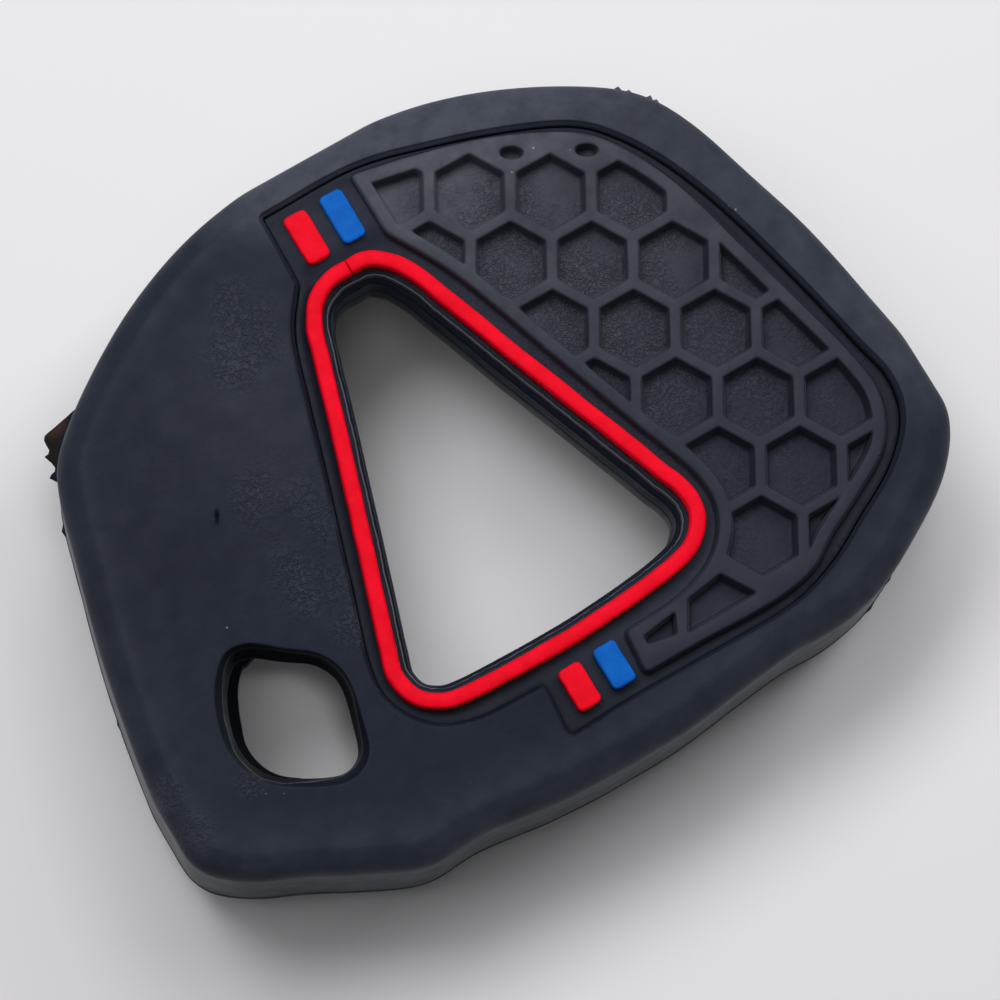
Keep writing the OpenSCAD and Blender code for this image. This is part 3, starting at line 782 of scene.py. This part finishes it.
# Recess wall: the brink (share of its width, height, wear with painted highlight), the bevel (share, wear
# with painted highlight), then straight down; painted light at the upper right and painted shade lower down
# the wall.
bevel, depth, rise, gap_at, rim_wear_and_highlight = (smooth(around(RIM, RIM_POINTS, k), 0.6) for k in (2, 3, 4, 5, 6))
crisp, dim = (smooth(around(table, RIM_POINTS), 0.5) for table in (CRISP, DIM))
hole = shift(recess, bevel + crisp)
hole_z = face_height(hole)
rim_painted_light = painted_edge_light(recess)
wall = []
for share, z, wear_and_highlight in ((1, 0, 0), (0.5, -0.01, 0.3), (0.15, -0.035, 0.8), (-0.05, -0.075, 1)):
    xy = shift(recess, bevel + crisp * share)
    wall.append(shell.ring(xy, hole_z + z * crisp / BRINK, rim_wear_and_highlight * wear_and_highlight, rim_painted_light * (0.6 + 0.4 * share)))
for share, wear_and_highlight in ((0.82, 0.8), (0.62, 0.3), (0.42, 0.1), (0.24, 0), (0.1, 0), (0.02, 0)):
    z = hole_z - BRINK_DROP - depth * (1 - share) ** 0.9
    tone = np.maximum(rim_painted_light * (0.45 + 0.3 * share), 0.1 * share) - dim * (1 - share)
    wall.append(shell.ring(shift(recess, bevel * share), z, rim_wear_and_highlight * wear_and_highlight, tone))
wall.append(shell.ring(recess, hole_z - BRINK_DROP - depth - 0.08, 0, -0.6))
wall.append(shell.ring(recess, RECESS_Z, 0, -0.8))
shell.bands(wall)

# Front wall of the slot: its bevel, the ridge at its inner edge (share of the way, height, wear with painted
# highlight), then down; painted shade darkens the bevel and the wall below the ridge.
ridge, low_in, ridge_wear_and_highlight = (smooth(around(SLOT_RIM, SLOT_POINTS, k), 0.25) for k in (1, 2, 3))
ridge += 0.03 * wave(slot, 17, 2.5)
slot_dim = smooth(around(SLOT_DIM, SLOT_POINTS), 0.25)
slot_top = face_height(shift(slot, 0.2))
slot_rings = []
for d, z in ((0.1, 0), (0.05, -0.012), (0.01, -0.045), (-0.02, -0.11)):
    slot_rings.append(shell.ring(shift(slot, d), slot_top + z, 0, -slot_dim * max(0, -z - 0.03) / 0.08))
for share, z, wear_and_highlight in ((0.35, -0.3, 0), (0.75, -0.5, 0.1), (0.93, -0.56, 0.8), (1, -0.6, 1),
                       (1.02, -0.66, 0.7), (1, -0.78, 0)):
    worn_and_lit = ridge_wear_and_highlight * wear_and_highlight
    xy = shift(slot, -0.03 + (ridge + 0.03) * share)
    slot_rings.append(shell.ring(xy, slot_top + z, worn_and_lit, -slot_dim * (1 - worn_and_lit)))
for share, z in ((0.2, -1.1), (0.5, -1.5), (0.8, -1.85), (0.95, -2),
                 (1, -2.12), (0.97, -2.25), (0.8, -2.4)):
    slot_rings.append(shell.ring(shift(slot, ridge + (low_in - ridge) * share), slot_top + z, 0, -0.8))
shell.bands(slot_rings)
field_top = shell.ring(shift(slot, 2.5), SLOT_ROOM_TOP)
field_foot = shell.ring(shift(slot, 2.6), ROOM_TOP)
shell.bands([slot_rings[-1], field_top, field_foot])

# Front face between the edge, the recess and the slot: closer points near its borders.
free = []
for degrees in (68, 74, 80, 86, 92, 98):
    free.append(even(shift(outline, -(DRAFT + ROUND * fall(degrees)) - EDGE_IN), 640))
free = np.vstack(free + [grid(shift(outline, -(ROUND + 0.9)), 0.75, 0.3)])
slot_edge = shift(slot, 0.1)
for ring in (hole, slot_edge):
    free = free[~inside(free, ring) & (distance(free, ring) > 0.75)]
near = []
for ring, count in ((hole, RIM_POINTS), (slot_edge, SLOT_POINTS)):
    near.append(even(soft(shift(ring, 0.18), 0.1), count))
    near.append(even(soft(shift(ring, 0.45), 0.1), count // 2))
near = np.vstack(near)
near = near[inside(near, shift(outline, -1))]
near = near[~inside(near, hole) & ~inside(near, slot_edge)]
near = near[(distance(near, hole) > BRINK) & (distance(near, slot_edge) > BRINK)]
free = np.vstack([free, near])

# A small torn nick in the face, with fine points of its own.
spot = np.array([[x, y] for x in np.arange(-0.5, 0.51, 0.07) for y in np.arange(-1, 1.01, 0.1)])
free = free[np.hypot(*(free - NICK).T) > 1.3]
free = np.vstack([free, NICK + spot[:, :1] * ACROSS + spot[:, 1:] * ALONG])
u, v = (free - NICK) @ ALONG, (free - NICK) @ ACROSS
nick = -0.4 * np.exp(-(u / 0.45) ** 2 - (v / (0.09 + 0.03 * np.sin(6 * u))) ** 2)
nick += 0.03 * np.exp(-(u / 0.6) ** 2 - ((v - 0.2) / 0.1) ** 2)
inwards = distance(free, outline)
# Tone of the face: painted sheen near the edge, painted light at the upper right and lower left, a paler
# patch, and painted shade in the nick.
face_tone = np.maximum(edge_sheen_at(inwards - 0.19), painted_edge_light(free))
face_tone += 0.28 * np.exp(-squares(free, PALE_SPOT) / 60)
face_tone += lower_left_light[nearest(free, outline)] * step((6 - inwards) / 4)
face_tone -= 0.7 * np.exp(-(u / 0.4) ** 2 - (v / 0.12) ** 2)
shell.field([side[-1], wall[0], slot_rings[0]], free, face_height(free) + nick, face_tone)

# Window wall with its thin moulding lines (share of the lean, height), down to the collar; its top edge on
# the left has wear with painted highlight.
window_out = outward(bead_line)[:, 0]
lean = smooth(np.maximum(0.02, 0.36 - 0.36 * window_out), 1)
left_wear_and_highlight = np.clip(0.35 - 0.6 * window_out, 0, 0.8)
window = [shell.ring(shift(bead_line, -WINDOW_IN), RECESS_Z)]
for share, z in ((0.02, -2.12), (0.3, -2.2), (0.42, -2.34), (0.46, -2.9), (0.55, -3), (0.62, -3.12),
                 (0.68, -3.7), (0.8, -3.78), (0.86, -3.9), (0.93, -4.6), (1, -5.2)):
    ripple = 0.05 * wave(bead_line, int(-z * 10), 5)
    xy = shift(bead_line, -WINDOW_IN - lean * share)
    window.append(shell.ring(xy, TOP + z + ripple * step((share - 0.1) * 5), left_wear_and_highlight * (share < 0.1)))
for d, z in ((-WINDOW_IN - lean * 0.9, COLLAR_Z + 0.12), (-1.25 - lean * 0.6, COLLAR_Z), (-0.5, COLLAR_Z),
             (-0.27, COLLAR_Z + 0.2), (-0.25, ROOM_TOP)):
    window.append(shell.ring(shift(bead_line, d), z))
shell.bands(window)
shell.field([wall[-1], window[0]])

# Room for the fob: ceiling with its rounded corner (width, drop), then the side wall.
inner = even(outline, 420)
corner_of_room = ((3.2, 0), (2.75, 0.1), (2.4, 0.4), (2.2, 1))
room = [shell.ring(shift(inner, -d), ROOM_TOP - drop) for d, drop in corner_of_room]
for z in (8, GIRTH, 3.6, 2.5, 2, REAR_WALL):
    room.append(shell.ring(shift(inner, -side_inset(z) - WALL - 0.25 * step((2.4 - z) / 0.6)), z))
shell.bands(room)
shell.field([room[0], window[-1], field_foot])


def through(points, radius):
    """Wall of an opening through the rear wall, with rounded edges."""
    edge = []
    for degrees in (0, 30, 60, 90):
        edge.append((shift(points, radius * (1 - math.sin(math.radians(degrees)))), radius * fall(degrees)))
    rings = [shell.ring(xy, z) for xy, z in edge] + [shell.ring(xy, REAR_WALL - z) for xy, z in edge[::-1]]
    shell.bands(rings)
    return rings[0], rings[-1]


rear_low, rear_high = through(rear, 0.45)
key_low, key_high = through(rear_slot, 0.35)
shell.field([room[-1], rear_high, key_high])
shell.field([side[0], rear_low, key_low])
shell_piece = shell.piece("silicone_shell", "cover_shell", SHELL)

# Inlay
inlay = Skin()
seam = gap_at * 1.35


def lift(points):
    """Rise of the inlay's floor into the upper pocket and at its edge, and the painted shade of the strip
    there.
    """
    pocket = 0.5 * step((points[:, 1] - 16.6) / 2) * step((5 - points[:, 0]) / 3.2)
    at = nearest(points, recess)
    away = np.sqrt(squares(points, recess[at]))
    edge = rise[at] * (1 - step(away - 0.3))
    shade = dim[at] * (1 - step((away - 0.9) / 1.2))
    return np.where(edge > 0, np.maximum(pocket, edge), pocket + edge), -shade


def pale(points):
    """Painted light on the inlay, strongest at its upper left."""
    return 0.5 * step((points @ np.array([0.2, 0.98]) + 8) / 25) + 0.5 * step((points[:, 1] - 13) / 6)


# Outer edge beside the seam, with painted shade down the seam, then the lip round the window with its worn
# ridge (width, height, wear with painted highlight).
rim_rings = []
for d, z in ((0, -0.78), (0, -0.1), (0.012, -0.035), (0.06, 0)):
    xy = shift(recess, -seam - d)
    up, shade = lift(xy)
    rim_rings.append(inlay.ring(xy, FLOOR_Z + z + (up if z > -0.5 else 0), 0, shade if z > -0.08 else -0.7))
inlay.bands(rim_rings)
ragged = 0.035 * wave(bead_line, 3, 4) + 0.02 * wave(bead_line, 13, 1.3)
lip_wear_and_highlight = np.clip(0.85 + 0.5 * (outward(bead_line)[:, 1] + 0.35), 0.35, 0.95)
lip = []
for d, z, wear_and_highlight in ((0.7, 0, 0), (0.84, -0.015, 0), (0.92, 0.01, 0), (0.97, 0.05, 0.6), (1.01, 0.06, 1),
                   (1.05, 0.02, 1), (1.08, -0.08, 0.5), (1.09, -0.2, 0), (1.08, -0.77, 0)):
    lip.append(inlay.ring(shift(bead_line, -d + ragged * (d > 0.9)), FLOOR_Z + z, lip_wear_and_highlight * wear_and_highlight))
inlay.bands(lip)
inlay.field([rim_rings[0], lip[-1]])

# Foot of the panel, narrower where the recess is near, with painted shade beside the recess, then its
# rounded shoulder with painted light and wear with painted highlight, and the floor round it.
rim_top = shift(recess, -seam - 0.06)
room_out = np.clip((distance(panel, rim_top) - 0.05) / FOOT_W, 0.15, 1)
foot = []
for d, z, raised, sunken in ((FOOT_W, 0, 1, 1), (0.24, 0.03, 1, 1), (0.16, 0.12, 1, 1),
                             (0.1, 0.34, 0.7, 0.5)):
    z += FLOOR_Z
    xy = shift(panel, d * room_out)
    up, shade = lift(xy)
    most = PANEL_Z - 0.04 - 0.1 * d / FOOT_W - z
    foot.append(inlay.ring(xy, z + np.where(up > 0, np.minimum(up * raised, most), up * sunken), 0, shade))
for d, drop, wear_and_highlight in ((0.04, 0.22, 0), (-0.01, 0.1, 0.18), (-0.09, 0.03, 0.18), (-0.2, 0, 0.18)):
    foot.append(inlay.ring(shift(panel, d), PANEL_Z - drop, wear_and_highlight, 0.1 + 0.62 * pale(panel)))
inlay.bands(foot)
flat = grid(rim_top, 0.35, 0.14, [shift(bead_line, -0.7), shift(panel, FOOT_W * room_out)])
up, shade = lift(flat)
inlay.field([rim_rings[-1], lip[0], foot[0]], flat, FLOOR_Z + 0.015 * wave(flat, 21, 6) + up, shade)


# Cells of the honeycomb
def clipped(poly, direction, most):
    """The part of a polygon where direction . p <= most."""
    over = poly @ direction - most
    out = []
    for i in range(len(poly)):
        j = (i + 1) % len(poly)
        if over[i] <= 0:
            out.append(poly[i])
        if (over[i] <= 0) != (over[j] <= 0):
            out.append(poly[i] + (poly[j] - poly[i]) * (over[i] / (over[i] - over[j])))
    return np.array(out)


panel_dense = even(loop(PANEL), 1400)


def cell_polygon(key, middle, d):
    """Cell outline drawn in by d: the hexagon cut by the border of the panel, an oval or an odd shape."""
    if key in ODD:
        return shift(soft(even(np.array(ODD[key]), 160), 0.06), -d)
    if key in OVALS:
        t = -np.linspace(0, 2 * np.pi, 80, endpoint=False)
        x, y = (0.9 - d) * np.cos(t), (0.5 - d) * np.sin(t)
        return np.array(OVALS[key]) + np.column_stack([0.86 * x + 0.51 * y, -0.51 * x + 0.86 * y])
    poly = shift(soft(panel_dense, 0.05), -(BORDER + d))
    for k in range(6):
        a = math.radians(60 * k + 30)
        direction = np.array([math.cos(a), math.sin(a)])
        poly = clipped(poly, direction, direction @ middle + (PITCH - RIB) / 2 - d)
    return poly


def rays(poly, centre, angles):
    """Where rays from the centre leave the polygon."""
    a, b = poly - centre, np.roll(poly, -1, 0) - centre
    out = []
    for t in angles:
        ray = np.array([math.cos(t), math.sin(t)])
        ca, cb = a[:, 0] * ray[1] - a[:, 1] * ray[0], b[:, 0] * ray[1] - b[:, 1] * ray[0]
        hit = (ca <= 0) != (cb <= 0)
        w = ca[hit] / (ca[hit] - cb[hit])
        r = (a[hit] + (b[hit] - a[hit]) * w[:, None]) @ ray
        r = r[r > 0]
        out.append(centre + ray * (r.min() if len(r) else 0.01))
    return np.array(out)


def cell(column, row):
    """Sinks one cell into the inlay and returns the ring at its top."""
    key = (column, row)
    place = (PITCH * column * math.sqrt(3) / 2, PITCH * (row + (0.5 if column % 2 else 0)))
    middle = LATTICE * HALF + place
    top = cell_polygon(key, middle, 0)
    probe = grid(top, 0.12, 0.01)
    inwards = distance(probe, top)
    radius = inwards.max()
    centre = probe[inwards > 0.72 * radius].mean(0)
    # A small cell has a narrower wall.
    narrow = min(1, 0.72 * radius / LEVELS[-1][0])
    turns = -np.linspace(0, 2 * np.pi, 720, endpoint=False)
    outer = rays(cell_polygon(key, middle, -CELL_LIP), centre, turns)
    outer = even(outer, max(48, int(length(top) / 0.12)))
    angles = np.unwrap(np.arctan2(outer[:, 1] - centre[1], outer[:, 0] - centre[0]))
    rings = []
    for d, drop in LEVELS:
        poly = cell_polygon(key, middle, d * narrow if d > 0 else d)
        xy = soft(rays(poly, centre, angles), min(0.08 + 0.2 * max(d, 0), 0.3 * radius))
        z = PANEL_Z - drop * (PANEL_Z - CELL_Z) / LEVELS[-1][1]
        # Painted light on the top and the floor, painted shade down the wall, and wear with painted
        # highlight near the top.
        top_side = step(1 - drop / 0.3)
        tone = pale(xy) * (0.75 - 0.1 * top_side) + 0.15 * top_side
        tone -= 0.25 * step(drop / 0.3) * step((1.2 - drop) / 0.3)
        rings.append(inlay.ring(xy, z, 0.22 * (0.02 < drop < 0.2), tone))
    inlay.bands(rings)
    free = grid(inlay.points[rings[-1], :2], 0.3, 0.12)
    inlay.field([rings[-1]], free, CELL_Z + 0.02 * wave(free, 30 + row, 2.4), pale(free) * 0.75)
    return rings[0]


cell_tops = [cell(column, row) for column, rows in CELLS.items() for row in rows]
inlay.field([foot[-1]] + cell_tops)
inlay_piece = inlay.piece("honeycomb_inlay", "front_inlay", INLAY)

# Bead: an open run of sections (share of the half width, share of the height) with a butt joint
bead = Skin()
line = bead_line + outward(bead_line) * 0.02 * wave(bead_line, 2, 5)[:, None]
joint = BEAD_SLIT / length(line) / 2
n = len(line)
s = np.linspace(joint, 1 - joint, n) * n
way, across = (
    np.column_stack([np.interp(s, np.arange(n + 1), np.append(p[:, k], p[0, k])) for k in (0, 1)])
    for p in (line, outward(line)))
half = BEAD_W / 2 * (1 + 0.025 * wave(way, 7, 3.3))
section = [(-1, 0), (-1, 0.4), (-0.99, 0.66), (-0.95, 0.79), (-0.87, 0.89), (-0.74, 0.945),
           (-0.55, 0.975), (-0.28, 0.995)]
section += [(0, 1)] + [(-out, up) for out, up in section[::-1]]
uneven = 1 - 0.012 * (1 + wave(way, 9, 4))
rows = np.array([bead.ring(way + across * (half * out)[:, None], FLOOR_Z + up * BEAD_H * uneven)
                 for out, up in section])
for a, b in zip(rows, rows[1:]):
    bead.faces += np.column_stack([a[:-1], a[1:], b[1:], b[:-1]]).tolist()
a, b = rows[0], rows[-1]
bead.faces += np.column_stack([a[1:], a[:-1], b[:-1], b[1:]]).tolist()
bead.faces += [rows[:, 0].tolist(), rows[::-1, -1].tolist()]
bead_piece = bead.piece("red_bead", "window_bead", RED)


# Bars
def bar(name, share, size, material, seed):
    """A short bar with rounded corners and a rounded upper edge (width, height)."""
    middle = np.array(share) * HALF
    w, h = BAR_W / 2 - BAR_R, size / 2 - BAR_R
    xy = []
    for x, y, start in ((1, 1, 90), (1, -1, 0), (-1, -1, 270), (-1, 1, 180)):
        for a in np.radians(np.linspace(start, start - 90, 9)):
            xy.append([x * w + BAR_R * math.cos(a), y * h + BAR_R * math.sin(a)])
    xy = soft(even(np.array(xy), 120), 0.08)
    xy += outward(xy) * (0.022 * wave(xy + middle, seed, 1.5))[:, None] + middle
    skin = Skin()
    profile = ((0, 0), (0, 0.45), (0, 0.66), (0.025, 0.77), (0.075, 0.84), (0.15, 0.87), (0.28, BAR_H))
    rings = [skin.ring(shift(xy, -d), FLOOR_Z + z) for d, z in profile]
    skin.bands(rings)
    free = grid(skin.points[rings[-1], :2], 0.2, 0.08)
    skin.field([rings[-1]], free, FLOOR_Z + BAR_H + 0.01 * wave(free, seed + 1, 1.6))
    skin.field([rings[0]])
    piece = skin.piece(name, name.replace("_block", "_bar"), material)


for i, (name, (share, size)) in enumerate(BARS.items()):
    material, slot_name = (RED, "red_silicone") if "red" in name else (BLUE, "blue_silicone")
    bar(name.replace("_bar", "_block"), share, size, material, 50 + 3 * i)

# Floor, just under the object
bpy.ops.mesh.primitive_plane_add(size=2.4, location=(0.1, 0.1, -0.00002))
floor = bpy.context.object
floor.name = "floor"
floor_material, surface = shader("floor")
fill(surface, Base_Color=(0.85, 0.84, 0.86, 1), Roughness=0.8, Specular_IOR_Level=0)
floor.data.materials.append(floor_material)

# Lamps: turn clockwise from the picture's top and height above the floor in degrees, size in metres, power.
LAMPS = {
    "top": (0, 52, 0.25, 0.6), "top_left": (-45, 60, 0.25, 1.15), "top_right": (45, 60, 0.25, 0.32),
    "left": (-90, 55, 0.25, 0.28), "low_right": (45, 35, 0.25, 0.8), "overhead": (0, 78, 0.3, 0.2),
    "front": (-168, 76, 0.3, 0.28),
}
LAMP_DISTANCE = 0.55
PICTURE_UP = Vector((0.5033, 0.8641, 0))
PICTURE_RIGHT = Vector((0.8641, -0.5033, 0))
for name, (turn, height, size, power) in LAMPS.items():
    data = bpy.data.lights.new(name, "AREA")
    data.shape = "DISK"
    data.size = size
    data.energy = power
    lamp = bpy.data.objects.new(name, data)
    bpy.context.scene.collection.objects.link(lamp)
    turn, height = math.radians(turn), math.radians(height)
    away = PICTURE_UP * math.cos(turn) + PICTURE_RIGHT * math.sin(turn)
    away = away * math.cos(height) + Vector((0, 0, math.sin(height)))
    lamp.location = away * LAMP_DISTANCE + Vector((0, 0, 0.01))
    lamp.rotation_euler = away.to_track_quat("Z", "Y").to_euler()

# World: nearly dark, but pale to the camera and in reflections
world = bpy.data.worlds.new("studio")
bpy.context.scene.world = world
world.use_nodes = True
path = world.node_tree.nodes.new("ShaderNodeLightPath").outputs
shown = calc("MAXIMUM", path["Is Camera Ray"], path["Is Glossy Ray"])
background = world.node_tree.nodes["Background"]
join(plus(times(shown, 0.7), 0.01), background, "Strength")
fill(background, Color=(0.97, 0.98, 1, 1))

# Camera, at the photograph's viewing angle
right = Vector((0.85713, -0.5123, 0.05367))
back = right.cross(Vector((0.49258, 0.84566, 0.20549))).normalized()
up = back.cross(right).normalized()
camera_data = bpy.data.cameras.new("camera")
camera_data.sensor_fit = "HORIZONTAL"
camera_data.angle = math.radians(14)
camera_data.clip_start = 0.01
camera = bpy.data.objects.new("camera", camera_data)
bpy.context.scene.collection.objects.link(camera)
place = Vector((*EYE, EYE_HEIGHT + TOP - 0.2)) * MM
camera.matrix_world = Matrix.Translation(place) @ Matrix((right, up, back)).transposed().to_4x4()
bpy.context.scene.camera = camera
bpy.context.scene.view_settings.view_transform = "Standard"
